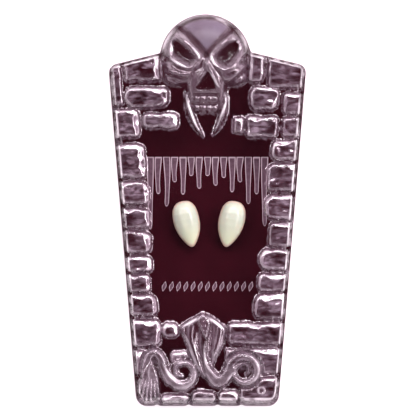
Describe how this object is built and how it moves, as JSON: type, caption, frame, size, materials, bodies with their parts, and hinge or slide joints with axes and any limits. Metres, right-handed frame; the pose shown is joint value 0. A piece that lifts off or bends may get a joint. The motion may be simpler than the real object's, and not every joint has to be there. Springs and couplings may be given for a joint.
{
  "type": "pair of vampire fang caps in a coffin-shaped blister card pack",
  "caption": "Slip-on vampire fang caps lying on a coffin-shaped card under a clear moulded cover with a border of stones, a fanged skull and a coiled serpent.",
  "frame": {"origin": "centre of the pack's length and width at the back face of the card, which rests on the surface", "axes": "+Z out of the front of the pack, +Y along the coffin from the foot to the skull, +X to the right as seen from the front"},
  "size_m": [0.0766, 0.152, 0.0211],
  "materials": {
    "card": "printed dark maroon, satin",
    "cover": "clear thermoformed sheet, glossy",
    "fang": "ivory dental acrylic, glossy"
  },
  "bodies": {
    "root": {"backing_card": "card", "clear_cover": "cover", "fang_cap_left": "fang", "fang_cap_right": "fang"}
  },
  "joints": []
}
